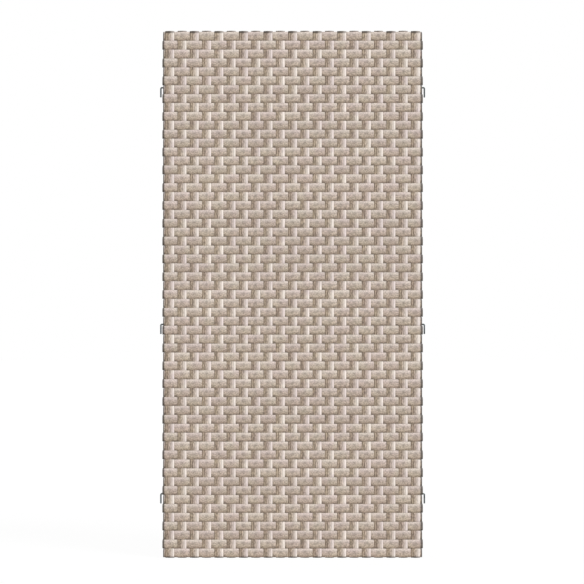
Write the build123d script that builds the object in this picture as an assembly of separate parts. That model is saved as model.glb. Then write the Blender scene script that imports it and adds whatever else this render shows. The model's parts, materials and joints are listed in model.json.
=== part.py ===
from build123d import *
import os

# Woven garden fence panel, hung on its posts by six hooks. The front faces -Y, Z is up, sizes are millimetres.

# Panel, over the slack turns of its bands
PANEL_WIDTH = 880.0
PANEL_HEIGHT = 1780.0

# Weave
ROWS = 59
COLUMNS = 21
BAND_THICKNESS = 2.5
STRIP_WIDTH = 30.4
SIDE_SLACK = 3.5
END_SLACK = 2.5
TURN_BEVEL = 4.0
FLOAT_HIP = 3.0
SLACK_HIP = 2.5

# Frame of square tube, welded at its mitres
TUBE_SIZE = 20.0
TUBE_WALL = 1.5

# Hooks of bent rod, given from the top of the panel down to the middle of each arm
HOOK_DEPTHS = (192.5, 991.5, 1563.5)
ROD_DIAMETER = 5.2
HOOK_REACH = 7.5
HOOK_BEND = 4.0
BEND_FLATS = 3
HOOK_HEIGHT = 35.5
ROD_GAP = 0.2

# Hexagonal threaded inserts that hold the hooks in the stiles
INSERT_ACROSS_FLATS = 7.0
INSERT_LENGTH = 11.0
THREAD_ENGAGED = 9.0

# Sizes that follow from those above
WALL_WIDTH = PANEL_WIDTH - 2 * SIDE_SLACK
WALL_HEIGHT = PANEL_HEIGHT - 2 * END_SLACK
FRAME_WIDTH = WALL_WIDTH - 2 * BAND_THICKNESS
FRAME_HEIGHT = WALL_HEIGHT - 2 * BAND_THICKNESS
MIDDLE_Z = PANEL_HEIGHT / 2
VALLEY_Y = TUBE_SIZE / 2 + BAND_THICKNESS
CREST_Y = VALLEY_Y + BAND_THICKNESS
ROW_PITCH = WALL_HEIGHT / ROWS
COLUMN_PITCH = WALL_WIDTH / COLUMNS
WALL_TOP = MIDDLE_Z + WALL_HEIGHT / 2
WALL_BOTTOM = MIDDLE_Z - WALL_HEIGHT / 2


def column_lines():
    """X of the lines between the columns, from left to right."""
    lines = [(j - COLUMNS / 2) * COLUMN_PITCH for j in range(COLUMNS + 1)]
    lines[0] = -WALL_WIDTH / 2 + TURN_BEVEL
    lines[-1] = WALL_WIDTH / 2 - TURN_BEVEL
    return lines


def row_lines():
    """Z of the lines between the rows, from the top down."""
    lines = [WALL_TOP - i * ROW_PITCH for i in range(ROWS + 1)]
    lines[0] = WALL_TOP - TURN_BEVEL
    lines[-1] = WALL_BOTTOM + TURN_BEVEL
    return lines


def face_of(*corners):
    """A flat face with these corners."""
    return Face(Wire.make_polygon(corners, close=True))


def hipped_float(x0, x1, z0, z1, base_y, ridge_y):
    """A horizontal float: a long crest with hipped ends, over a cell of the wall."""
    middle = (z0 + z1) / 2
    a, b, c, d = (x0, base_y, z0), (x1, base_y, z0), (x1, base_y, z1), (x0, base_y, z1)
    left, right = (x0 + FLOAT_HIP, ridge_y, middle), (x1 - FLOAT_HIP, ridge_y, middle)
    return [face_of(a, b, right, left), face_of(b, c, right), face_of(c, d, left, right), face_of(d, a, left)]


def woven_face(side):
    """One woven face of the wall: floats on every other cell and the flat strips between them."""
    faces = []
    xs, zs = column_lines(), row_lines()
    base_y, ridge_y = side * VALLEY_Y, side * CREST_Y
    for i in range(ROWS):
        for j in range(COLUMNS):
            cell = (xs[j], xs[j + 1], zs[i], zs[i + 1])
            if (i + j) % 2:
                faces += hipped_float(*cell, base_y, ridge_y)
            else:
                x0, x1, z0, z1 = cell
                faces.append(face_of((x0, base_y, z0), (x1, base_y, z0), (x1, base_y, z1), (x0, base_y, z1)))
    return faces


def turned_band(corners, outward, along, slack, shoulder):
    """A slack turn: the cell raised by slack to a flat top, set in by shoulder at the band's two edges."""
    outward, along = Vector(outward), Vector(along)
    across = Vector(0, 1, 0)
    base = [Vector(*corner) for corner in corners]
    centre = sum(base, Vector(0, 0, 0)) / 4
    top = []
    for corner in base:
        out_along = (corner - centre).dot(along)
        out_across = (corner - centre).dot(across)
        set_in = along * (shoulder if out_along < 0 else -shoulder)
        set_in += across * (SLACK_HIP if out_across < 0 else -SLACK_HIP)
        top.append(corner + set_in + outward * slack)
    sides = [face_of(base[n], base[(n + 1) % 4], top[(n + 1) % 4], top[n]) for n in range(4)]
    return sides + [face_of(*top)]


def side_edge(side):
    """The turns of the rows round one stile, with a bevel to each woven face."""
    faces = []
    zs = row_lines()
    x_out = side * WALL_WIDTH / 2
    x_in = side * (WALL_WIDTH / 2 - TURN_BEVEL)
    y_turn = VALLEY_Y - TURN_BEVEL
    for i in range(ROWS):
        top, bottom = zs[i], zs[i + 1]
        corners = [(x_out, -y_turn, top), (x_out, y_turn, top), (x_out, y_turn, bottom), (x_out, -y_turn, bottom)]
        if i % 2:
            faces += turned_band(corners, (side, 0, 0), (0, 0, 1), SIDE_SLACK, SLACK_HIP)
        else:
            faces.append(face_of(*corners))
        for y in (-1, 1):
            faces.append(
                face_of(
                    (x_in, y * VALLEY_Y, top),
                    (x_out, y * y_turn, top),
                    (x_out, y * y_turn, bottom),
                    (x_in, y * VALLEY_Y, bottom),
                )
            )
    return faces


def end_edge(end):
    """The turns of the columns round one rail, with a bevel to each woven face."""
    faces = []
    xs = column_lines()
    z_out = MIDDLE_Z + end * WALL_HEIGHT / 2
    z_in = MIDDLE_Z + end * (WALL_HEIGHT / 2 - TURN_BEVEL)
    y_turn = VALLEY_Y - TURN_BEVEL
    shoulder = (COLUMN_PITCH - STRIP_WIDTH) / 2
    for j in range(COLUMNS):
        left, right = xs[j], xs[j + 1]
        corners = [(left, -y_turn, z_out), (right, -y_turn, z_out), (right, y_turn, z_out), (left, y_turn, z_out)]
        if j % 2:
            faces += turned_band(corners, (0, 0, end), (1, 0, 0), END_SLACK, shoulder)
        else:
            faces.append(face_of(*corners))
        for y in (-1, 1):
            faces.append(
                face_of(
                    (left, y * VALLEY_Y, z_in),
                    (right, y * VALLEY_Y, z_in),
                    (right, y * y_turn, z_out),
                    (left, y * y_turn, z_out),
                )
            )
    return faces


def corner_faces(side, end):
    """The bevel and the two small triangles that close one corner of the wall."""
    x_out = side * WALL_WIDTH / 2
    x_in = side * (WALL_WIDTH / 2 - TURN_BEVEL)
    z_out = MIDDLE_Z + end * WALL_HEIGHT / 2
    z_in = MIDDLE_Z + end * (WALL_HEIGHT / 2 - TURN_BEVEL)
    y_turn = VALLEY_Y - TURN_BEVEL
    faces = [
        face_of((x_out, -y_turn, z_in), (x_out, y_turn, z_in), (x_in, y_turn, z_out), (x_in, -y_turn, z_out))
    ]
    for y in (-1, 1):
        faces.append(face_of((x_in, y * VALLEY_Y, z_in), (x_out, y * y_turn, z_in), (x_in, y * y_turn, z_out)))
    return faces


def hook_heights():
    """Z of the arm of each hook on one side."""
    return [PANEL_HEIGHT - depth for depth in HOOK_DEPTHS]


def hook_places():
    """Side of the panel and height of each hook, as pairs."""
    return [(side, z) for side in (-1, 1) for z in hook_heights()]


def make_weave():
    """The woven bands as one wall: a ridge for every float, hollow where the frame lies, pierced by the hooks."""
    faces = woven_face(-1) + woven_face(1)
    for side in (-1, 1):
        faces += side_edge(side) + end_edge(side)
        faces += corner_faces(side, -1) + corner_faces(side, 1)
    wall = Solid(Shell(faces))
    tools = [Pos(0, 0, MIDDLE_Z) * Box(FRAME_WIDTH, TUBE_SIZE, FRAME_HEIGHT)]
    reach = PANEL_WIDTH / 2 - FRAME_WIDTH / 2
    gap = ROD_DIAMETER + 2 * ROD_GAP
    for side, z in hook_places():
        tools.append(Pos(side * (FRAME_WIDTH / 2 + reach / 2), 0, z) * Box(2 * reach, gap, gap))
    return wall - tools


def mitred_tube(length):
    """A square tube along X with both ends cut at 45 degrees, its long side towards +Z."""
    half, size = length / 2, TUBE_SIZE
    outline = Polyline((-half, 0), (half, 0), (half - size, -size), (-half + size, -size), close=True)
    tube = extrude(Plane.XZ * make_face(outline), size / 2, both=True)
    bore = size - 2 * TUBE_WALL
    return tube - Pos(0, 0, -size / 2) * Box(length, bore, bore)


def make_rail(end):
    """The top rail (end 1) or the bottom rail (end -1)."""
    turn = 0 if end > 0 else 180
    return Pos(0, 0, MIDDLE_Z + end * FRAME_HEIGHT / 2) * Rot(0, turn, 0) * mitred_tube(FRAME_WIDTH)


def hexagon_along_x(length):
    """The outside of an insert: a hexagonal bar that runs from the middle of its outer end towards -X."""
    section = RegularPolygon(INSERT_ACROSS_FLATS / 2, 6, major_radius=False)
    return extrude(Plane(origin=(0, 0, 0), z_dir=(-1, 0, 0)) * section, length)


def make_stile(side):
    """The left stile (side -1) or the right stile (side 1), with a hexagonal hole for each insert."""
    stile = Pos(side * FRAME_WIDTH / 2, 0, MIDDLE_Z) * Rot(0, 90 * side, 0) * mitred_tube(FRAME_HEIGHT)
    turn = 0 if side > 0 else 180
    for z in hook_heights():
        stile -= Pos(side * FRAME_WIDTH / 2, 0, z) * Rot(0, 0, turn) * hexagon_along_x(2 * TUBE_WALL)
    return stile


def make_insert(side, z):
    """A hexagonal threaded insert, flush with the outer wall of the stile."""
    bore = Rot(0, 90, 0) * Cylinder(ROD_DIAMETER / 2, 2 * INSERT_LENGTH)
    turn = 0 if side > 0 else 180
    return Pos(side * FRAME_WIDTH / 2, 0, z) * Rot(0, 0, turn) * (hexagon_along_x(INSERT_LENGTH) - bore)


def make_hook(side, z):
    """A rod that leaves the stile, bends down and ends as the leg that drops into the post's eye."""
    leg_x = PANEL_WIDTH / 2 + HOOK_REACH - ROD_DIAMETER / 2
    leg_end = ROD_DIAMETER / 2 - HOOK_HEIGHT
    arm_end = FRAME_WIDTH / 2 - THREAD_ENGAGED
    bend_x = leg_x - HOOK_BEND

    def section(angle):
        """The rod's section where the bend has turned by this angle."""
        direction = Vector(1, 0, 0).rotate(Axis.Y, angle)
        centre = Vector(bend_x, 0, -HOOK_BEND) + Vector(0, 0, HOOK_BEND).rotate(Axis.Y, angle)
        return Plane(origin=centre, x_dir=(0, 1, 0), z_dir=direction) * Circle(ROD_DIAMETER / 2)

    arm = extrude(section(0), arm_end - bend_x)
    bend = loft([section(90 * n / BEND_FLATS) for n in range(BEND_FLATS + 1)], ruled=True)
    leg = extrude(section(90), -HOOK_BEND - leg_end)
    turn = 0 if side > 0 else 180
    return Pos(0, 0, z) * Rot(0, 0, turn) * (arm + bend + leg)


def make_parts():
    """Every sub-part by its name."""
    parts = {"weave": make_weave(), "top_rail": make_rail(1), "bottom_rail": make_rail(-1)}
    for side, name in ((-1, "left"), (1, "right")):
        parts[f"{name}_stile"] = make_stile(side)
        parts[f"{name}_inserts"] = Compound([make_insert(side, z) for z in hook_heights()])
        parts[f"{name}_hooks"] = Compound([make_hook(side, z) for z in hook_heights()])
    return parts


os.makedirs("parts", exist_ok=True)
for name, shape in make_parts().items():
    export_step(shape, f"parts/{name}.step")
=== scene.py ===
import json
import logging
import math
import random
from dataclasses import dataclass
from enum import Enum
from itertools import accumulate

import bmesh
import bpy
from bmesh.types import BMEdge, BMesh, BMVert
from bpy.types import ID, Material, Mesh, Node, NodeOutputs, NodeSocket, NodeTree, Object
from mathutils import Matrix, Vector


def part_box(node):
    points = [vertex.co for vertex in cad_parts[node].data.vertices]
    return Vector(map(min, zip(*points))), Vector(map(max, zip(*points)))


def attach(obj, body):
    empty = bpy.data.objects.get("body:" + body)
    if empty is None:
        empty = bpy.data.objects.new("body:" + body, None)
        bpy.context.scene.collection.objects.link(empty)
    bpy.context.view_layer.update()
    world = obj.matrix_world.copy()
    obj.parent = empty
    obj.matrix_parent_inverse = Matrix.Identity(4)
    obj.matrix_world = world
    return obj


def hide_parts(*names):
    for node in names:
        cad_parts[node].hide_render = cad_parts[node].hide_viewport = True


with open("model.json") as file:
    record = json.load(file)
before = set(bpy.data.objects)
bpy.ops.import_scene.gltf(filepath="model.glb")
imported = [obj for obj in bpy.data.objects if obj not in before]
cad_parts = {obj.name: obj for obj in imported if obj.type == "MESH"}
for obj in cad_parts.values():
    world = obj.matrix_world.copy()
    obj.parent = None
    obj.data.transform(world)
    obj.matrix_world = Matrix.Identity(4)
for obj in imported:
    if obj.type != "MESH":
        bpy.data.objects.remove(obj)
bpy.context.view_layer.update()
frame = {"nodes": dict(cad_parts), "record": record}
LOG = logging.getLogger("fence_panel")
BAND_MAP = "BandMap"
BAND_TONE = "band_tone"
# Mesh value for the painted shade on the turns, where the bands bend away from the light
BAND_TURN_SHADE = "band_painted_turn_shade"
BAND_PLACE = "band_place"
TURN_STEPS = 12
SHARP_FLATS = math.radians(5)
SHARP_METAL = math.radians(40)
REPLACED_NODES = ("weave", "left_hooks", "right_hooks")


def finished_mesh(bm: BMesh, name: str) -> Mesh:
    """Turns a worked shape into a mesh and frees it.

    Args:
        bm: The shape.
        name: Name of the mesh.

    Returns:
        The new mesh.
    """
    mesh = bpy.data.meshes.new(name)
    bm.to_mesh(mesh)
    bm.free()
    return mesh


def add_object(name: str, data: ID) -> Object:
    """Adds an object to the scene.

    Args:
        name: Name of the object.
        data: Its mesh, lamp or camera.

    Returns:
        The new object.
    """
    added = bpy.data.objects.new(name, data)
    bpy.context.scene.collection.objects.link(added)
    return added


class Course(Enum):
    """The way a band runs."""

    HORIZONTAL = "horizontal"
    VERTICAL = "vertical"


@dataclass(frozen=True)
class PanelSizes:
    """Sizes of the panel in metres, most of them read from the frame.

    The origin is the middle of the bottom edge, -Y is the front and Z is up.

    Attributes:
        half_width: From the middle to the outermost side turns.
        height: Height of the whole panel.
        half_depth: From the middle plane to the outermost faces.
        tube_half_depth: Half the depth of the frame's tubes.
        stile_out: From the middle to the stiles' outer faces.
        rail_top: Top of the top rail.
        rail_bottom: Bottom of the bottom rail.
        rows: Count of the horizontal bands.
        columns: Count of the vertical bands.
        strip_width: Width of a vertical band.
        row_gap: Gap between two horizontal bands.
        side_rim: How much of the tight side turns shows beside the outer columns.
        top_rim: How much of the tight top turns shows above the first row.
    """

    half_width: float
    height: float
    half_depth: float
    tube_half_depth: float
    stile_out: float
    rail_top: float
    rail_bottom: float
    rows: int = 59
    columns: int = 21
    strip_width: float = 0.0304
    row_gap: float = 0.0004
    side_rim: float = 0.0012
    top_rim: float = 0.0015

    @classmethod
    def from_frame(cls) -> "PanelSizes":
        """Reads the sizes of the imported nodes.

        Returns:
            The panel's sizes.
        """
        weave_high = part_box("weave")[1]
        stile_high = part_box("right_stile")[1]
        return cls(
            half_width=weave_high.x,
            height=weave_high.z,
            half_depth=weave_high.y,
            tube_half_depth=stile_high.y,
            stile_out=stile_high.x,
            rail_top=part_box("top_rail")[1].z,
            rail_bottom=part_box("bottom_rail")[0].z,
        )

    @property
    def layer(self) -> float:
        """Depth that one band takes up."""
        return (self.half_depth - self.tube_half_depth) / 2

    @property
    def wall_top(self) -> float:
        """Top of the tight turns."""
        return self.rail_top + self.layer

    @property
    def wall_bottom(self) -> float:
        """Bottom of the tight turns."""
        return self.rail_bottom - self.layer

    @property
    def row_pitch(self) -> float:
        """Distance from one horizontal band to the next, below the rim that the top turns leave."""
        return (self.wall_top - self.top_rim - self.wall_bottom) / self.rows

    @property
    def column_pitch(self) -> float:
        """Distance from one vertical band to the next, between the rims that the side turns leave."""
        return 2 * (self.stile_out + self.layer - self.side_rim) / self.columns

    def row_z(self, row: int) -> float:
        """Height of the middle of a row, counted from the top."""
        return self.wall_bottom + (self.rows - row - 0.5) * self.row_pitch

    def column_x(self, column: int) -> float:
        """Place of the middle of a column, counted from the left."""
        return (column - (self.columns - 1) / 2) * self.column_pitch


@dataclass(frozen=True)
class BandSection:
    """The section of a moulded band: flat behind, with a raised face of flats.

    Attributes:
        width: Width of the band.
        thickness: Its greatest thickness.
        stations: Points round the section, each a share of the half width and of the thickness.
    """

    width: float
    thickness: float
    stations: tuple[tuple[float, float], ...]

    def points(self) -> list[tuple[float, float]]:
        """Places across and out of the band, in metres, closed by the first one again."""
        points = [(across * self.width / 2, out * self.thickness) for across, out in self.stations]
        return points + points[:1]


FLAT_BAND = (
    (-1.0, 0.0), (-1.0, 0.62), (-0.93, 0.88), (-0.7, 0.99),
    (0.4, 1.0), (0.75, 0.8), (1.0, 0.3), (1.0, 0.0),
)
RIBBED_BAND = (
    (-1.0, 0.0), (-1.0, 0.6), (-0.92, 0.72), (-0.62, 0.84), (-0.54, 0.72), (-0.46, 0.9),
    (-0.3, 0.98), (0.25, 1.0), (0.62, 0.93), (0.92, 0.76), (1.0, 0.6), (1.0, 0.0),
)


@dataclass(frozen=True)
class Turn:
    """How a band turns round a tube, and where painted shade darkens it as it bends away from the light.

    Attributes:
        start: Place along the band where the turn starts.
        reach: How far it reaches beyond that.
        squareness: Power of its outline; more is squarer.
        shaded: Share of the reach from which painted shade makes the band darker.
        fade: Share of the reach over which the painted shade deepens.
        flat_from: Share of the reach from which the band is flat again and the painted shade lighter.
        flat_full: Share of the reach from which the painted shade is as light as it gets.
        flat_paler: How much of the painted shade is taken off there.
    """

    start: float
    reach: float
    squareness: float
    shaded: float
    fade: float = 0.4
    flat_from: float = 0.92
    flat_full: float = 0.98
    flat_paler: float = 0.7

    def painted_shade(self, out: float) -> float:
        """How much painted shade the bend gets, where it turns away from the light.

        Args:
            out: Share of the reach.

        Returns:
            0 where there is no painted shade, 1 where the painted shade is deepest.
        """
        bent = min(1.0, max(0.0, (out - self.shaded) / self.fade))
        flat = min(1.0, max(0.0, (out - self.flat_from) / (self.flat_full - self.flat_from)))
        return bent * (1.0 - self.flat_paler * flat)


@dataclass(frozen=True)
class Weaving:
    """How one band passes over and under the bands that cross it.

    Attributes:
        overs: Places along the band where it passes over another.
        reach: Half the length of a float.
        low: Depth of the back of the band where it lies under another.
        lift: How much further out it lies at the middle of a float.
        squareness: Power of the floats' outline; more is flatter with steeper ends.
        shares: Places along half a float, as shares of its reach, where the band gets a section.
    """

    overs: tuple[float, ...]
    reach: float
    low: float
    lift: float
    squareness: int
    shares: tuple[float, ...]

    def share(self, place: float) -> float:
        """Distance from the middle of the nearest float as a share of its reach, less than 0 before it."""
        nearest = min(self.overs, key=lambda centre: abs(place - centre))
        return max(-1.0, min(1.0, (place - nearest) / self.reach))

    def depth(self, place: float) -> float:
        """Depth of the band's back from the panel's middle plane."""
        return self.low + self.lift * (1 - abs(self.share(place)) ** self.squareness)

    def places(self, start: float, end: float) -> list[float]:
        """Places along one face where the band gets a section.

        Args:
            start: Where the low turn starts.
            end: Where the high turn starts.

        Returns:
            The places in order, with both ends.
        """
        found = {start, end}
        for centre in self.overs:
            found |= {centre + side * share * self.reach for share in self.shares for side in (-1, 1)}
        return sorted(place for place in found if start <= place <= end)


@dataclass(frozen=True)
class Station:
    """A place on the closed line that the middle of a band's back follows.

    Attributes:
        at: Place along the band and depth.
        turn: How much painted shade a turn puts on it, from 0 to 1.
        share: Its place in the nearest float, from -1 at one end to 1 at the other.
    """

    at: Vector
    turn: float
    share: float


@dataclass
class WovenBand:
    """One flat band that runs right round the frame, woven on the front and on the back.

    Attributes:
        course: Horizontal or vertical.
        weaving: Its way over and under the others.
        section: Its section.
        low_turn: Its turn at the left or the bottom.
        high_turn: Its turn at the right or the top.
    """

    course: Course
    weaving: Weaving
    section: BandSection
    low_turn: Turn
    high_turn: Turn

    def turn_stations(self, turn: Turn, side: int) -> list[Station]:
        """The band's back round one tube.

        Args:
            turn: The turn's sizes.
            side: 1 for the high end and -1 for the low end.

        Returns:
            The stations from the front to the back at the high end, and the other way at the low end.
        """
        depth = self.weaving.depth(turn.start)
        power = 2 / turn.squareness
        stations = []
        for step in range(1, TURN_STEPS):
            angle = side * (step / TURN_STEPS - 0.5) * math.pi
            out = math.cos(angle) ** power
            across = math.copysign(abs(math.sin(angle)) ** power, angle) * depth
            at = Vector((turn.start + side * out * turn.reach, across))
            stations.append(Station(at, turn.painted_shade(out), side))
        return stations

    def face_stations(self, side: int) -> list[Station]:
        """The band's back on one face.

        Args:
            side: -1 for the front and 1 for the back.

        Returns:
            The stations from the low end to the high end.
        """
        weaving = self.weaving
        return [
            Station(Vector((place, side * weaving.depth(place))), 0.0, weaving.share(place))
            for place in weaving.places(self.low_turn.start, self.high_turn.start)
        ]

    def stations(self) -> list[Station]:
        """The whole closed line, front face first."""
        low, high = self.turn_stations(self.low_turn, -1), self.turn_stations(self.high_turn, 1)
        return self.face_stations(-1) + high + self.face_stations(1)[::-1] + low

    @staticmethod
    def ways_out(line: list[Station]) -> list[Vector]:
        """The way out of the band's back at each station."""
        ahead = [line[(index + 1) % len(line)].at - line[index - 1].at for index in range(len(line))]
        return [Vector((way.y, -way.x)).normalized() for way in ahead]

    @staticmethod
    def lengths(line: list[Station]) -> list[float]:
        """How far along the band each station is, and the whole length at the end."""
        steps = [(line[(index + 1) % len(line)].at - line[index].at).length for index in range(len(line))]
        return list(accumulate(steps, initial=0.0))

    def mesh(self, name: str) -> Mesh:
        """Bends a flat grid round the band's line.

        Args:
            name: Name of the mesh.

        Returns:
            A closed mesh with its map in metres, along and across the band.
        """
        line = self.stations()
        count = len(line)
        outward, lengths = self.ways_out(line), self.lengths(line)
        section = self.section.points()
        steps = len(section) - 1
        bm = bmesh.new()
        bmesh.ops.create_grid(bm, x_segments=count, y_segments=steps, size=0.5)
        band_map = bm.loops.layers.uv.new(BAND_MAP)
        turn_layer = bm.verts.layers.float.new(BAND_TURN_SHADE)
        place_layer = bm.verts.layers.float.new(BAND_PLACE)
        for face in bm.faces:
            face.smooth = True
            for loop in face.loops:
                index, ring = self.grid_place(loop.vert.co, count, steps)
                loop[band_map].uv = (lengths[index], section[ring][0] + self.section.width / 2)
        for edge in bm.edges:
            rings = [self.grid_place(vert.co, count, steps)[1] for vert in edge.verts]
            edge.smooth = rings[0] != rings[1] or not self.is_sharp(section, rings[0])
        for vert in bm.verts:
            index, ring = self.grid_place(vert.co, count, steps)
            across, out = section[ring]
            station = line[index % count]
            vert[turn_layer] = station.turn
            vert[place_layer] = station.share
            flat = station.at + outward[index % count] * out
            if self.course is Course.HORIZONTAL:
                vert.co = (flat.x, flat.y, across)
            else:
                vert.co = (across, flat.y, flat.x)
        bmesh.ops.remove_doubles(bm, verts=bm.verts, dist=1e-6)
        bmesh.ops.recalc_face_normals(bm, faces=bm.faces)
        return finished_mesh(bm, name)

    @staticmethod
    def is_sharp(section: list[tuple[float, float]], ring: int) -> bool:
        """True if two flats of the section meet at this point with an edge that shows."""
        before, here, after = (Vector(section[(ring + side) % (len(section) - 1)]) for side in (-1, 0, 1))
        return (here - before).angle(after - here) > SHARP_FLATS

    @staticmethod
    def grid_place(co: Vector, count: int, steps: int) -> tuple[int, int]:
        """Which station and which point of the section a corner of the flat grid stands for."""
        return round((co.x + 0.5) * count), round((co.y + 0.5) * steps)


class NodeSheet:
    """Lays out shader nodes in a material or a group, one call a node."""

    def __init__(self, tree: NodeTree) -> None:
        """Starts on an empty tree."""
        self.tree = tree
        self.tree.nodes.clear()

    def add(self, kind: str, settings: dict | None = None, **inputs: object) -> Node:
        """Adds a node, sets its properties and fills or links its sockets.

        Args:
            kind: The node's type.
            settings: Properties of the node.
            inputs: Socket names with underscores for spaces, or a name such as in0 for a place,
                each with a value or an output socket.

        Returns:
            The new node.
        """
        node = self.tree.nodes.new(kind)
        for key, value in (settings or {}).items():
            setattr(node, key, value)
        for key, value in inputs.items():
            if key[:2] == "in" and key[2:].isdigit():
                socket = node.inputs[int(key[2:])]
            else:
                socket = node.inputs[key.replace("_", " ")]
            if isinstance(value, NodeSocket):
                self.tree.links.new(value, socket)
            else:
                socket.default_value = value
        return node

    def maths(self, operation: str, *values: object) -> NodeSocket:
        """The result of one sum on numbers or sockets."""
        inputs = {f"in{place}": value for place, value in enumerate(values)}
        return self.add("ShaderNodeMath", {"operation": operation}, **inputs).outputs[0]

    def span(self, value: object, low: float, high: float, to_low: object, to_high: object) -> NodeSocket:
        """A value mapped from one range to another with soft ends.

        Args:
            value: Number or socket.
            low: Start of its range.
            high: End of its range.
            to_low: Result at the start, a number or a socket.
            to_high: Result at the end, a number or a socket.

        Returns:
            The mapped value.
        """
        node = self.add(
            "ShaderNodeMapRange",
            {"interpolation_type": "SMOOTHSTEP"},
            Value=value,
            From_Min=low,
            From_Max=high,
            To_Min=to_low,
            To_Max=to_high,
        )
        return node.outputs["Result"]

    def blend(self, share: object, first: object, second: object, mode: str = "MIX") -> NodeSocket:
        """Two colours mixed by a share."""
        settings = {"data_type": "RGBA", "blend_type": mode}
        return self.add("ShaderNodeMix", settings, in0=share, in6=first, in7=second).outputs[2]


def new_material(name: str) -> tuple[Material, NodeSheet]:
    """Makes a material without nodes.

    Args:
        name: Name of the material.

    Returns:
        The material and the sheet for its nodes.
    """
    material = bpy.data.materials.new(name)
    material.use_nodes = True
    return material, NodeSheet(material.node_tree)


class SharedGroup:
    """A shader node group that is made once, for every material that uses its effect."""

    INPUTS: dict[str, str] = {}
    OUTPUTS: tuple[str, ...] = ()

    @classmethod
    def group(cls) -> NodeTree:
        """The group, made on the first call."""
        return bpy.data.node_groups.get(cls.__name__) or cls.build()

    @classmethod
    def build(cls) -> NodeTree:
        """Makes the group with its named inputs and outputs.

        Returns:
            The new group.
        """
        tree = bpy.data.node_groups.new(cls.__name__, "ShaderNodeTree")
        for name, kind in cls.INPUTS.items():
            tree.interface.new_socket(name, in_out="INPUT", socket_type=f"NodeSocket{kind}")
        for name in cls.OUTPUTS:
            tree.interface.new_socket(name, in_out="OUTPUT", socket_type="NodeSocketFloat")
        sheet = NodeSheet(tree)
        results = cls.results(sheet, sheet.add("NodeGroupInput").outputs)
        sheet.add("NodeGroupOutput", **dict(zip(cls.OUTPUTS, results)))
        return tree

    @classmethod
    def results(cls, sheet: NodeSheet, given: NodeOutputs) -> tuple[NodeSocket, ...]:
        """The sockets for the outputs, in their order, which each group works out."""
        raise NotImplementedError


class BandGrain(SharedGroup):
    """The fine ribs and fibres along a band and its mottled smudges.

    The rates say how fast each noise changes along the band, across it and from band to band.
    """

    INPUTS = {"Map": "Vector", "Seed": "Float", "Rib Pitch": "Float", "Smudge Rate": "Float"}
    OUTPUTS = ("Smudge", "Fibre", "Groove", "Height", "Drift", "Tint")
    FIBRE_RATES = (22.0, 1500.0, 31.0)
    SMUDGE_RATES = (330.0, 1.0)
    DRIFT_RATES = (2.0, 12.0, 45.0)
    TINT_RATES = (20.0, 12.0, 63.0)
    FIBRE_HEIGHT = 0.45
    GROOVE_DEPTH = 0.6

    @staticmethod
    def noise(
        sheet: NodeSheet,
        given: NodeOutputs,
        rates: tuple[object, float, float],
        detail: float,
        roughness: float = 0.5,
    ) -> NodeSocket:
        """A noise over the band's map that differs from band to band.

        Args:
            sheet: The group's nodes.
            given: The group's inputs.
            rates: Its rate along the band, a number or a socket, across it and from band to band.
            detail: Its detail.
            roughness: Its roughness.

        Returns:
            The noise's value.
        """
        parts = sheet.add("ShaderNodeSeparateXYZ", in0=given["Map"])
        sources = (parts.outputs["X"], parts.outputs["Y"], given["Seed"])
        scaled = [sheet.maths("MULTIPLY", source, rate) for source, rate in zip(sources, rates)]
        place = sheet.add("ShaderNodeCombineXYZ", X=scaled[0], Y=scaled[1], Z=scaled[2])
        noise = sheet.add(
            "ShaderNodeTexNoise", Vector=place.outputs[0], Scale=1.0, Detail=detail, Roughness=roughness
        )
        return noise.outputs["Fac"]

    @classmethod
    def results(cls, sheet: NodeSheet, given: NodeOutputs) -> tuple[NodeSocket, ...]:
        """Works out the masks and the height.

        Args:
            sheet: The group's nodes.
            given: The group's inputs.

        Returns:
            The sockets for the outputs, in their order.
        """
        fibre = cls.noise(sheet, given, cls.FIBRE_RATES, 3.0, 0.6)
        smudge = cls.noise(sheet, given, (given["Smudge Rate"], *cls.SMUDGE_RATES), 4.0, 0.55)
        drift = cls.noise(sheet, given, cls.DRIFT_RATES, 1.0)
        tint = cls.noise(sheet, given, cls.TINT_RATES, 1.0)
        across = sheet.add("ShaderNodeSeparateXYZ", in0=given["Map"]).outputs["Y"]
        ribs = sheet.maths("DIVIDE", across, given["Rib Pitch"])
        wave = sheet.maths("COSINE", sheet.maths("MULTIPLY", ribs, math.tau))
        groove = sheet.span(wave, 0.55, 1.0, 0.0, 1.0)
        raised = sheet.maths("MULTIPLY", fibre, cls.FIBRE_HEIGHT)
        return (
            sheet.span(smudge, 0.31, 0.69, 0.0, 1.0),
            fibre,
            groove,
            sheet.maths("SUBTRACT", raised, sheet.maths("MULTIPLY", groove, cls.GROOVE_DEPTH)),
            sheet.maths("SUBTRACT", drift, 0.5),
            sheet.span(tint, 0.3, 0.7, 0.0, 1.0),
        )


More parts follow.
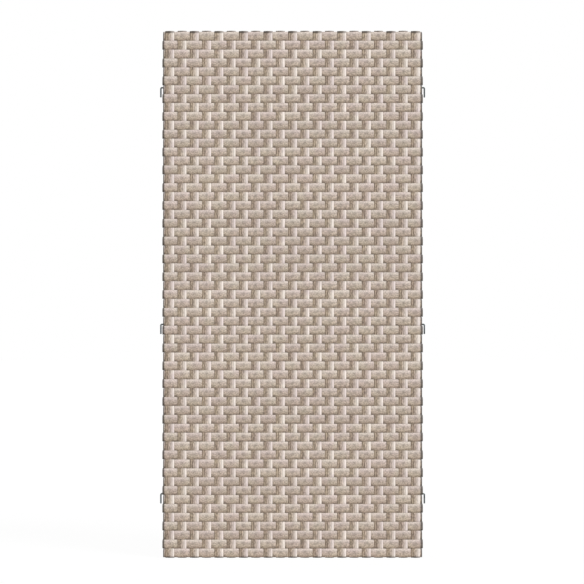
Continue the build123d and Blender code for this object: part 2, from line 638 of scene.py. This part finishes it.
@dataclass(frozen=True)
class BandFinish:
    """Matte, mottled, finely ribbed plastic band with painted light and shade across it, paler towards one
    edge.

    Colours are linear RGB; lengths are metres. The constants place the dark smudge and the painted corner
    shade of a float, as shares of its half length or of the width.

    Attributes:
        name: Name of the material.
        width: Width of the band.
        mottle: How much the smudges darken and lighten the near edge and the far edge.
        smudge_rate: How many smudges there are in a metre of band.
        streak: How much the fibres darken and lighten.
        smudge: How much the middle of a float is darkened.
        corner: How much painted shade darkens a float at the lower corner of its start, and less so at its
            end.
        groove: How much painted shade darkens the grooves between the fine ribs.
        wander: How far the shades shift across the band along its way.
        unevenness: How much lighter and darker the band gets along its way.
        turn_shade: Share of the colour that the painted shade on the turns leaves, at the near edge and
            the far edge.
        shades: Places across the band, as shares of its width, each with its colour; these colours hold
            painted light and shade as well as the band's own colour.
        near_to_far: Places across the band between which the near edge's levels become the far edge's.
        tone_spread: How much lighter and darker one band is than another.
        warm_tint: Tint of the warm places along the band.
        cool_tint: Tint of the cool places.
        crevice_shade: Colour of the painted shade in the gaps at the band's edges and in the grooves.
        crevice_shade_level: How much of the painted shade the edges take.
        crevice_shade_width: How far in from the edges the painted shade reaches.
        rib_pitch: Distance between the fine ribs.
        grain_height: Height of the fine ribs and fibres.
        roughness: Roughness of the plastic.
        specular: Its specular level.
    """

    SMUDGE_MIDDLE = 0.58
    SMUDGE_REACH = 0.34
    CORNER_ACROSS = (0.08, 0.4)
    START_CORNER = (-0.92, -0.35)
    END_CORNER = (0.1, 0.55)
    END_LEVEL = 0.4

    name: str
    width: float
    mottle: tuple[float, float]
    smudge_rate: float
    streak: float
    smudge: float
    corner: float
    groove: float
    wander: float
    unevenness: float
    turn_shade: tuple[float, float]
    shades: tuple[tuple[float, tuple[float, float, float]], ...]
    near_to_far: tuple[float, float] = (0.35, 0.85)
    tone_spread: float = 0.04
    warm_tint: tuple[float, float, float] = (1.02, 0.99, 1.01)
    cool_tint: tuple[float, float, float] = (0.985, 1.0, 0.965)
    crevice_shade: tuple[float, float, float] = (0.20, 0.155, 0.115)
    crevice_shade_level: float = 0.35
    crevice_shade_width: float = 0.0012
    rib_pitch: float = 0.0033
    grain_height: float = 0.0003
    roughness: float = 0.55
    specular: float = 0.3

    def shade(self, sheet: NodeSheet, share: NodeSocket) -> NodeSocket:
        """The band's colour across its width, with the painted light and shade that the ramp holds.

        Args:
            sheet: The material's nodes.
            share: Place across the band as a share of its width.

        Returns:
            The colour.
        """
        ramp = sheet.add("ShaderNodeValToRGB", in0=share)
        stops = ramp.color_ramp.elements
        for place, colour in self.shades[1:-1]:
            stops.new(place).color = (*colour, 1)
        stops[0].color = (*self.shades[0][1], 1)
        stops[-1].color = (*self.shades[-1][1], 1)
        return ramp.outputs[0]

    def float_marks(self, sheet: NodeSheet, share: NodeSocket) -> list[NodeSocket]:
        """The dark smudge in the middle of each float, and the painted shade at its lower corners.

        Args:
            sheet: The material's nodes.
            share: Place across the band as a share of its width.

        Returns:
            Their levels, from 1 where they leave the colour as it is.
        """
        place = self.attribute(sheet, BAND_PLACE)
        from_smudge = sheet.maths("ABSOLUTE", sheet.maths("SUBTRACT", share, self.SMUDGE_MIDDLE))
        middle = sheet.maths(
            "MULTIPLY",
            sheet.span(sheet.maths("ABSOLUTE", place), 0.0, self.SMUDGE_REACH, self.smudge, 0.0),
            sheet.span(from_smudge, 0.0, self.SMUDGE_REACH, 1.0, 0.0),
        )
        # painted shade at the lower corners of a float, where it dips under the crossing band
        ends = sheet.maths(
            "ADD",
            sheet.span(place, *self.START_CORNER, self.corner, 0.0),
            sheet.span(place, *self.END_CORNER, 0.0, self.corner * self.END_LEVEL),
        )
        corners = sheet.maths("MULTIPLY", ends, sheet.span(share, *self.CORNER_ACROSS, 1.0, 0.0))
        return [sheet.maths("SUBTRACT", 1.0, mark) for mark in (middle, corners)]

    def attribute(self, sheet: NodeSheet, name: str) -> NodeSocket:
        """A value that the mesh carries."""
        return sheet.add("ShaderNodeAttribute", {"attribute_name": name}).outputs["Fac"]

    def material(self) -> Material:
        """Builds the band's material from its map, the values that it carries and the grain group.

        Returns:
            The new material.
        """
        material, sheet = new_material(self.name)
        band_map = sheet.add("ShaderNodeUVMap", {"uv_map": BAND_MAP}).outputs[0]
        tone = self.attribute(sheet, BAND_TONE)
        grain = sheet.add(
            "ShaderNodeGroup",
            {"node_tree": BandGrain.group()},
            Map=band_map,
            Seed=tone,
            Rib_Pitch=self.rib_pitch,
            Smudge_Rate=self.smudge_rate,
        ).outputs
        across = sheet.add("ShaderNodeSeparateXYZ", in0=band_map).outputs["Y"]
        share = sheet.maths("DIVIDE", across, self.width)
        smudge = sheet.span(grain["Smudge"], 0.0, 1.0, -1.0, 1.0)
        mottle = sheet.span(share, *self.near_to_far, *self.mottle)
        turn_shade = sheet.span(share, *self.near_to_far, *self.turn_shade)
        levels = (
            *self.float_marks(sheet, share),
            sheet.maths("MULTIPLY_ADD", smudge, mottle, 1.0),
            sheet.span(grain["Fibre"], 0.3, 0.7, 1.0 - self.streak, 1.0 + self.streak),
            sheet.span(grain["Tint"], 0.0, 1.0, 1.0 - self.unevenness, 1.0 + self.unevenness),
            sheet.span(tone, 0.0, 1.0, 1.0 - self.tone_spread, 1.0 + self.tone_spread),
            # painted shade on the turns, where the bands bend away from the light; lighter on the far side
            sheet.span(self.attribute(sheet, BAND_TURN_SHADE), 0.0, 1.0, 1.0, turn_shade),
        )
        level = levels[0]
        for other in levels[1:]:
            level = sheet.maths("MULTIPLY", level, other)
        level = sheet.add("ShaderNodeCombineColor", in0=level, in1=level, in2=level).outputs[0]
        shifted = sheet.maths("ADD", share, sheet.maths("MULTIPLY", grain["Drift"], self.wander))
        # the ramp gives the band's colour with painted light and shade across it
        toned_with_painted_light = sheet.blend(1.0, self.shade(sheet, shifted), level, "MULTIPLY")
        tint = sheet.blend(grain["Tint"], (*self.warm_tint, 1), (*self.cool_tint, 1))
        toned_with_painted_light = sheet.blend(1.0, toned_with_painted_light, tint, "MULTIPLY")
        # painted shade in the gaps along the band's edges and in the rib grooves
        half = self.width / 2
        from_middle = sheet.maths("ABSOLUTE", sheet.maths("SUBTRACT", across, half))
        edge = sheet.span(from_middle, half - self.crevice_shade_width, half, 0.0, self.crevice_shade_level)
        groove = sheet.maths("MULTIPLY", grain["Groove"], self.groove)
        crevice_shaded = sheet.blend(sheet.maths("MAXIMUM", edge, groove), toned_with_painted_light, (*self.crevice_shade, 1))
        height = grain["Height"]
        bump = sheet.add("ShaderNodeBump", Strength=0.5, Distance=self.grain_height, Height=height)
        shader = sheet.add(
            "ShaderNodeBsdfPrincipled",
            Base_Color=crevice_shaded,
            Roughness=self.roughness,
            Specular_IOR_Level=self.specular,
            Normal=bump.outputs[0],
        )
        sheet.add("ShaderNodeOutputMaterial", Surface=shader.outputs[0])
        return material


# Colours from the bottom edge to the top edge of a horizontal band, holding painted light and shade:
# darkest at the bottom, paler towards the top, and a little darker again at the very top edge.
MOTTLED_PAINTED_LIGHT_SHADES = (
    (0.0, (0.30, 0.235, 0.18)),
    (0.08, (0.31, 0.243, 0.187)),
    (0.17, (0.39, 0.31, 0.243)),
    (0.27, (0.465, 0.38, 0.305)),
    (0.45, (0.485, 0.40, 0.33)),
    (0.62, (0.50, 0.415, 0.36)),
    (0.76, (0.585, 0.503, 0.447)),
    (0.86, (0.66, 0.572, 0.516)),
    (1.0, (0.63, 0.546, 0.492)),
)
# Colours from one edge of a vertical band to the other (left to right as seen from the front), holding
# painted light and shade: a dark third with fine lines, paler towards the other edge, and a near-white
# painted highlight stripe close to it.
STREAKED_PAINTED_LIGHT_SHADES = (
    (0.0, (0.33, 0.255, 0.19)),
    (0.06, (0.24, 0.18, 0.128)),
    (0.11, (0.30, 0.235, 0.175)),
    (0.18, (0.42, 0.34, 0.265)),
    (0.25, (0.25, 0.188, 0.135)),
    (0.32, (0.30, 0.232, 0.175)),
    (0.40, (0.46, 0.375, 0.31)),
    (0.5, (0.44, 0.36, 0.30)),
    (0.57, (0.47, 0.388, 0.33)),
    (0.64, (0.62, 0.53, 0.475)),
    (0.79, (0.62, 0.545, 0.50)),
    (0.85, (0.85, 0.76, 0.715)),
    (0.97, (0.90, 0.81, 0.765)),
    (1.0, (0.70, 0.60, 0.55)),
)


class MetalPatina(SharedGroup):
    """The cloudy dullness and fine scratches of plain metal."""

    INPUTS = {"Cloud Scale": "Float", "Scratch Scale": "Float"}
    OUTPUTS = ("Cloud", "Scratch")

    @classmethod
    def results(cls, sheet: NodeSheet, given: NodeOutputs) -> tuple[NodeSocket, ...]:
        """Works out the masks of the clouds and the scratches.

        Args:
            sheet: The group's nodes.
            given: The group's inputs.

        Returns:
            The sockets for the outputs, in their order.
        """
        place = sheet.add("ShaderNodeTexCoord").outputs["Object"]
        cloud = sheet.add("ShaderNodeTexNoise", Vector=place, Scale=given["Cloud Scale"], Detail=5.0)
        scratch = sheet.add("ShaderNodeTexNoise", Vector=place, Scale=given["Scratch Scale"], Detail=2.0)
        return sheet.span(cloud.outputs["Fac"], 0.3, 0.7, 0.0, 1.0), scratch.outputs["Fac"]


@dataclass(frozen=True)
class MetalFinish:
    """Plain dull metal, cloudy and a little scratched. Colours are linear RGB.

    Attributes:
        name: Name of the material.
        light: Colour of its lighter places.
        dull: Colour of its duller places.
        roughness: Roughness of the lighter places.
        metallic: How metallic it is.
        cloud_scale: Scale of the clouds.
        scratch_scale: Scale of the scratches.
    """

    name: str
    light: tuple[float, float, float]
    dull: tuple[float, float, float]
    roughness: float
    metallic: float
    cloud_scale: float
    scratch_scale: float

    def material(self) -> Material:
        """Builds the metal's material.

        Returns:
            The new material.
        """
        material, sheet = new_material(self.name)
        patina = sheet.add(
            "ShaderNodeGroup",
            {"node_tree": MetalPatina.group()},
            Cloud_Scale=self.cloud_scale,
            Scratch_Scale=self.scratch_scale,
        ).outputs
        cloud = patina["Cloud"]
        bump = sheet.add("ShaderNodeBump", Strength=0.2, Distance=0.0001, Height=patina["Scratch"])
        shader = sheet.add(
            "ShaderNodeBsdfPrincipled",
            Base_Color=sheet.blend(cloud, (*self.dull, 1), (*self.light, 1)),
            Metallic=self.metallic,
            Roughness=sheet.span(cloud, 0.0, 1.0, self.roughness + 0.1, self.roughness),
            Normal=bump.outputs[0],
        )
        sheet.add("ShaderNodeOutputMaterial", Surface=shader.outputs[0])
        return material


ZINC = MetalFinish(
    name="dull_zinc",
    light=(0.12, 0.14, 0.143),
    dull=(0.077, 0.09, 0.093),
    roughness=0.45,
    metallic=0.8,
    cloud_scale=160.0,
    scratch_scale=1400.0,
)
MILL_ALUMINIUM = MetalFinish(
    name="mill_aluminium",
    light=(0.62, 0.63, 0.64),
    dull=(0.50, 0.51, 0.52),
    roughness=0.38,
    metallic=1.0,
    cloud_scale=25.0,
    scratch_scale=900.0,
)


def place_piece(name: str, mesh: Mesh, material: Material, node: str) -> Object:
    """Puts a finished mesh into the scene as a piece that stands for a node.

    Args:
        name: Name of the piece.
        mesh: Its mesh, already in place.
        material: Its material.
        node: The node that it stands for.

    Returns:
        The new object.
    """
    piece = add_object(name, mesh)
    mesh.materials.append(material)
    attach(piece, "root")
    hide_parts(node)
    LOG.info("%s: %d faces", name, len(mesh.polygons))
    return piece


@dataclass
class Weave:
    """All the bands of the panel, each a piece of its own.

    Attributes:
        sizes: The panel's sizes.
        turn_start: How far inside the tight turns a turn begins.
        flat_thickness: Thickness of the horizontal bands.
        rib_thickness: Thickness of the vertical bands.
        rib_lift: How much the vertical bands rise between two horizontal ones.
        hidden_end: Length of a horizontal float's end that dips behind the next vertical band.
        side_slack: How much further out the tighter side turns reach than one layer.
        top_gap: How much less far the tighter top turns reach than the others.
        wide_side: Shares of the left and right reach from which painted shade darkens the outermost side
            turns.
        tight_side: The same for the tighter side turns.
        front_end: The same for the bottom and top turns of the vertical bands that show in the first row.
        back_end: The same for the other vertical bands.
        tight_square: Squareness of the turns with less reach.
        wide_square: Squareness of the others.
        play: Clearance of the horizontal bands from the tubes and from the panel's outermost faces.
        seed: Seed of the bands' small differences.
    """

    sizes: PanelSizes
    turn_start: float = 0.0085
    flat_thickness: float = 0.00145
    rib_thickness: float = 0.002
    rib_lift: float = 0.0012
    hidden_end: float = 0.0026
    side_slack: float = 0.0009
    top_gap: float = 0.0008
    wide_side: tuple[float, float] = (0.25, 0.1)
    tight_side: tuple[float, float] = (0.45, 0.35)
    front_end: tuple[float, float] = (0.35, 0.0)
    back_end: tuple[float, float] = (0.15, 0.1)
    tight_square: float = 3.4
    wide_square: float = 2.7
    play: float = 0.00002
    seed: int = 11

    def turns(
        self,
        tube_out: tuple[float, float],
        outer: tuple[float, float],
        thickness: float,
        shaded: tuple[float, float],
    ) -> list[Turn]:
        """The turns of a band at its low and high ends.

        Args:
            tube_out: Where the frame's outer faces are.
            outer: Where the band's outermost faces are.
            thickness: Thickness of the band.
            shaded: Share of each turn's reach from which painted shade makes the band darker.

        Returns:
            The low turn and the high turn.
        """
        inset = self.turn_start - self.sizes.layer
        found = []
        for side, tube, face, share in zip((-1, 1), tube_out, outer, shaded):
            start = tube - side * inset
            reach = abs(face - start) - thickness
            squareness = self.tight_square if reach < self.turn_start else self.wide_square
            found.append(Turn(start, reach, squareness, share))
        return found

    def horizontal_band(self, first_over: bool) -> WovenBand:
        """A horizontal band, which bends over and under the straighter vertical ones.

        Args:
            first_over: True if it floats over the first column and the last.

        Returns:
            The band.
        """
        sizes = self.sizes
        low = sizes.tube_half_depth + self.play
        lift = sizes.half_depth - self.flat_thickness - self.play - low
        columns = range(0 if first_over else 1, sizes.columns, 2)
        weaving = Weaving(
            overs=tuple(sizes.column_x(column) for column in columns),
            reach=sizes.column_pitch - sizes.strip_width / 2 + self.hidden_end,
            low=low,
            lift=lift,
            squareness=6,
            shares=(0, 0.5, 0.72, 0.88, 1),
        )
        section = BandSection(sizes.row_pitch - sizes.row_gap, self.flat_thickness, FLAT_BAND)
        outer = sizes.half_width if first_over else sizes.stile_out + sizes.layer + self.side_slack
        shaded = self.wide_side if first_over else self.tight_side
        stiles = (-sizes.stile_out, sizes.stile_out)
        turns = self.turns(stiles, (-outer, outer), self.flat_thickness, shaded)
        return WovenBand(Course.HORIZONTAL, weaving, section, *turns)

    def vertical_band(self, first_over: bool) -> WovenBand:
        """A vertical band, which stays nearly straight.

        Args:
            first_over: True if it shows in the first row and the last.

        Returns:
            The band.
        """
        sizes = self.sizes
        rows = range(0 if first_over else 1, sizes.rows, 2)
        weaving = Weaving(
            overs=tuple(sizes.row_z(row) for row in rows),
            reach=sizes.row_pitch / 2,
            low=sizes.tube_half_depth + self.flat_thickness,
            lift=self.rib_lift,
            squareness=8,
            shares=(0.5, 0.78, 0.91, 1),
        )
        section = BandSection(sizes.strip_width, self.rib_thickness, RIBBED_BAND)
        gap = self.top_gap if first_over else 0.0
        outer = (0.0, sizes.height - gap)
        shaded = self.front_end if first_over else self.back_end
        turns = self.turns((sizes.rail_bottom, sizes.rail_top), outer, self.rib_thickness, shaded)
        return WovenBand(Course.VERTICAL, weaving, section, *turns)

    def finishes(self) -> dict[Course, BandFinish]:
        """The looks of the bands.

        Returns:
            The finish of each course.
        """
        mottled = BandFinish(
            name="mottled_band",
            width=self.sizes.row_pitch - self.sizes.row_gap,
            mottle=(0.31, 0.18),
            smudge_rate=200.0,
            streak=0.05,
            smudge=0.27,
            corner=0.4,
            groove=0.05,
            wander=0.05,
            unevenness=0.025,
            turn_shade=(0.2, 0.2),
            shades=MOTTLED_PAINTED_LIGHT_SHADES,
        )
        streaked = BandFinish(
            name="streaked_band",
            width=self.sizes.strip_width,
            mottle=(0.39, 0.06),
            smudge_rate=110.0,
            streak=0.1,
            smudge=0.0,
            corner=0.0,
            groove=0.15,
            wander=0.1,
            unevenness=0.07,
            turn_shade=(0.22, 0.48),
            shades=STREAKED_PAINTED_LIGHT_SHADES,
        )
        return {Course.HORIZONTAL: mottled, Course.VERTICAL: streaked}

    def build(self) -> list[Object]:
        """Weaves every band, from four patterns that are repeated row by row and column by column.

        Returns:
            The bands, rows first.
        """
        dice = random.Random(self.seed)
        finishes = self.finishes()
        pieces = []
        makers = {Course.HORIZONTAL: self.horizontal_band, Course.VERTICAL: self.vertical_band}
        for course in Course:
            is_row = course is Course.HORIZONTAL
            material = finishes[course].material()
            patterns = [makers[course](over).mesh(f"{course.value}_pattern") for over in (False, True)]
            for index in range(self.sizes.rows if is_row else self.sizes.columns):
                mesh = patterns[index % 2 == int(is_row)].copy()
                shift = (0, 0, self.sizes.row_z(index)) if is_row else (self.sizes.column_x(index), 0, 0)
                mesh.transform(Matrix.Translation(shift))
                tone = mesh.attributes.new(BAND_TONE, "FLOAT", "POINT")
                tone.data.foreach_set("value", [dice.random()] * len(mesh.vertices))
                name = f"{course.value}_band_{index + 1:02d}"
                mesh.name = name
                pieces.append(place_piece(name, mesh, material, "weave"))
        return pieces


@dataclass
class RodHooks:
    """The six bent rods, three at each side.

    Attributes:
        radius: Radius of the rod.
        bend: Radius of the bend's middle line.
        end_round: Rounding of the leg's end.
        segments: Count of the corners round the rod.
        bend_steps: Count of the flats along the bend.
        end_steps: Count of the flats in the rounding.
    """

    radius: float = 0.0026
    bend: float = 0.004
    end_round: float = 0.0009
    segments: int = 28
    bend_steps: int = 10
    end_steps: int = 3

    def mesh(self, name: str, arm_start: float, leg: Vector, leg_end: float, side: int) -> Mesh:
        """One hook, drawn out from a disc: along the arm, round the bend and down the leg.

        Args:
            name: Name of the mesh.
            arm_start: X where the arm starts inside the stile.
            leg: A point with the leg's X and the arm's Z.
            leg_end: Z of the leg's end.
            side: 1 for the right side and -1 for the left one.

        Returns:
            The closed mesh.
        """
        bm = bmesh.new()
        disc = bmesh.ops.create_circle(bm, cap_ends=False, segments=self.segments, radius=self.radius)
        to_arm = Matrix.Translation((arm_start, 0, leg.z)) @ Matrix.Rotation(math.radians(90), 4, "Y")
        bmesh.ops.transform(bm, matrix=to_arm, verts=disc["verts"])
        ring = bm.edges[:]
        bmesh.ops.contextual_create(bm, geom=ring)
        bend_x = leg.x - self.bend
        ring = self.drawn(bm, ring, Vector((bend_x - arm_start, 0, 0)))
        spun = bmesh.ops.spin(
            bm,
            geom=ring,
            cent=(bend_x, 0, leg.z - self.bend),
            axis=(0, 1, 0),
            angle=math.radians(90),
            steps=self.bend_steps,
            use_duplicate=False,
        )
        ring = [item for item in spun["geom_last"] if isinstance(item, BMEdge)]
        ring = self.drawn(bm, ring, Vector((0, 0, leg_end - (leg.z - self.bend))))
        cap = bmesh.ops.contextual_create(bm, geom=ring)["faces"]
        bmesh.ops.bevel(
            bm,
            geom=[edge for face in cap for edge in face.edges],
            offset=self.end_round,
            segments=self.end_steps,
            profile=0.5,
            affect="EDGES",
            material=-1,
        )
        bmesh.ops.recalc_face_normals(bm, faces=bm.faces)
        if side < 0:
            bmesh.ops.rotate(bm, verts=bm.verts, cent=(0, 0, 0), matrix=Matrix.Rotation(math.pi, 3, "Z"))
        for face in bm.faces:
            face.smooth = True
        for edge in bm.edges:
            edge.smooth = edge.calc_face_angle(0) < SHARP_METAL
        return finished_mesh(bm, name)

    @staticmethod
    def drawn(bm: BMesh, ring: list[BMEdge], way: Vector) -> list[BMEdge]:
        """Draws a ring of edges out along a way.

        Args:
            bm: The shape.
            ring: The edges.
            way: How far and where to.

        Returns:
            The edges of the new ring.
        """
        new = bmesh.ops.extrude_edge_only(bm, edges=ring)["geom"]
        corners = [item for item in new if isinstance(item, BMVert)]
        bmesh.ops.translate(bm, vec=way, verts=corners)
        edges = [item for item in new if isinstance(item, BMEdge)]
        return [edge for edge in edges if all(vert in corners for vert in edge.verts)]

    def build(self) -> list[Object]:
        """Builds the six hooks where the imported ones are.

        Returns:
            The hooks.
        """
        material = ZINC.material()
        arms = [mount for mount in frame["record"]["mounts"] if mount["name"].endswith("_leg")]
        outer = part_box("right_hooks")[1]
        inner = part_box("right_hooks")[0]
        heights = [mount["pos_m"][2] for mount in arms]
        drop = min(heights) - inner.z
        rise = outer.z - max(heights) - self.radius
        pieces = []
        for mount, height in zip(arms, heights):
            side = 1 if mount["pos_m"][0] > 0 else -1
            name = mount["name"].removesuffix("_leg")
            leg = Vector((outer.x - self.radius, 0, height + rise))
            mesh = self.mesh(name, inner.x, leg, height - drop, side)
            node = "right_hooks" if side > 0 else "left_hooks"
            pieces.append(place_piece(name, mesh, material, node))
        return pieces


@dataclass
class HiddenFrame:
    """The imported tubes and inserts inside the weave, which keep their shape and get their metal."""

    def dress(self) -> None:
        """Gives each kept node its material."""
        aluminium, zinc = MILL_ALUMINIUM.material(), ZINC.material()
        for name, node in frame["nodes"].items():
            if name in REPLACED_NODES:
                continue
            material = zinc if name.endswith("inserts") else aluminium
            node.data.materials.clear()
            node.data.materials.append(material)
            LOG.info("%s keeps its packed shape", name)


@dataclass
class Studio:
    """The white floor and background, the soft light and the camera.

    Attributes:
        sizes: The panel's sizes.
        metres_per_pixel: Scale of the photo at the panel.
        photo_size: Width and height of the photo in pixels.
        panel_middle: Pixel of the middle of the panel in the photo.
        distance: From the camera to the panel.
        floor_size: Half the width of the floor.
        floor_white: How much of the floor is shown plain white; the rest shows shadows.
        white: Strength of the plain white.
        room_level: Strength of the even light.
        sun_way: Direction from the panel to the main light.
        sun_level: Strength of the main light.
        sun_spread: Angle that it fills, in degrees.
    """

    sizes: PanelSizes
    metres_per_pixel: float = 0.003377
    photo_size: float = 584.0
    panel_middle: tuple[float, float] = (292.62, 294.28)
    distance: float = 14.0
    floor_size: float = 40.0
    floor_white: float = 0.9
    white: float = 1.04
    room_level: float = 0.62
    sun_way: tuple[float, float, float] = (0.45, -0.75, 0.5)
    sun_level: float = 1.6
    sun_spread: float = 20.0

    @staticmethod
    def seen(sheet: NodeSheet) -> NodeSocket:
        """Tells the rays that the camera sees from those that only carry light.

        Args:
            sheet: The nodes.

        Returns:
            1 for what is seen straight, in a reflection or through glass, and 0 for the rest.
        """
        path = sheet.add("ShaderNodeLightPath").outputs
        straight = sheet.maths("MAXIMUM", path["Is Camera Ray"], path["Is Glossy Ray"])
        return sheet.maths("MAXIMUM", straight, path["Is Transmission Ray"])

    def white_shader(self, sheet: NodeSheet, surface: NodeSocket) -> NodeSocket:
        """Makes a surface plain white to the camera and in reflections, apart from its shadows.

        Args:
            sheet: The material's nodes.
            surface: The lit surface, of which a share is kept for the shadows.

        Returns:
            The mixed shader.
        """
        white = sheet.add("ShaderNodeEmission", Color=(1, 1, 1, 1), Strength=self.white)
        share = sheet.maths("MULTIPLY", self.seen(sheet), self.floor_white)
        return sheet.add("ShaderNodeMixShader", in0=share, in1=surface, in2=white.outputs[0]).outputs[0]

    def build_floor(self) -> None:
        """Lays the pale floor that the panel stands on."""
        bm = bmesh.new()
        bmesh.ops.create_grid(bm, x_segments=1, y_segments=1, size=self.floor_size)
        floor = add_object("floor", finished_mesh(bm, "floor"))
        material, sheet = new_material("pale_floor")
        matte = sheet.add("ShaderNodeBsdfDiffuse", Color=(0.8, 0.8, 0.8, 1))
        sheet.add("ShaderNodeOutputMaterial", Surface=self.white_shader(sheet, matte.outputs[0]))
        floor.data.materials.append(material)

    def build_world(self) -> None:
        """Fills the room with even light and shows the camera plain white."""
        world = bpy.data.worlds.new("white_room")
        bpy.context.scene.world = world
        world.use_nodes = True
        sheet = NodeSheet(world.node_tree)
        extra = sheet.maths("MULTIPLY", self.seen(sheet), 1.0 - self.room_level)
        strength = sheet.maths("ADD", extra, self.room_level)
        background = sheet.add("ShaderNodeBackground", Color=(1, 1, 1, 1), Strength=strength)
        sheet.add("ShaderNodeOutputWorld", Surface=background.outputs[0])

    def build_sun(self) -> None:
        """Adds the main light."""
        data = bpy.data.lights.new("key_light", "SUN")
        data.energy = self.sun_level
        data.angle = math.radians(self.sun_spread)
        light = add_object("key_light", data)
        toward = Vector(self.sun_way)
        light.rotation_euler = toward.to_track_quat("Z", "Y").to_euler()
        light.location = toward.normalized() * 4

    def build_camera(self) -> None:
        """Sets the camera square to the panel's front, with the panel where the photo has it."""
        data = bpy.data.cameras.new("camera")
        data.sensor_width = 36.0
        data.lens = data.sensor_width * self.distance / (self.photo_size * self.metres_per_pixel)
        data.clip_end = 100.0
        camera = add_object("camera", data)
        right = (self.photo_size / 2 - self.panel_middle[0]) * self.metres_per_pixel
        up = (self.panel_middle[1] - self.photo_size / 2) * self.metres_per_pixel
        camera.location = (right, -self.distance, self.sizes.height / 2 + up)
        camera.rotation_euler = (math.radians(90), 0, 0)
        bpy.context.scene.camera = camera

    def build(self) -> None:
        """Builds the whole studio."""
        self.build_floor()
        self.build_world()
        self.build_sun()
        self.build_camera()
        bpy.context.scene.view_settings.view_transform = "Standard"


def main() -> None:
    """Builds the dressed panel and its studio."""
    logging.basicConfig(level=logging.INFO, format="%(message)s")
    sizes = PanelSizes.from_frame()
    bands = Weave(sizes).build()
    hooks = RodHooks().build()
    HiddenFrame().dress()
    Studio(sizes).build()
    LOG.info("%d bands and %d hooks", len(bands), len(hooks))


if __name__ == "__main__":
    main()
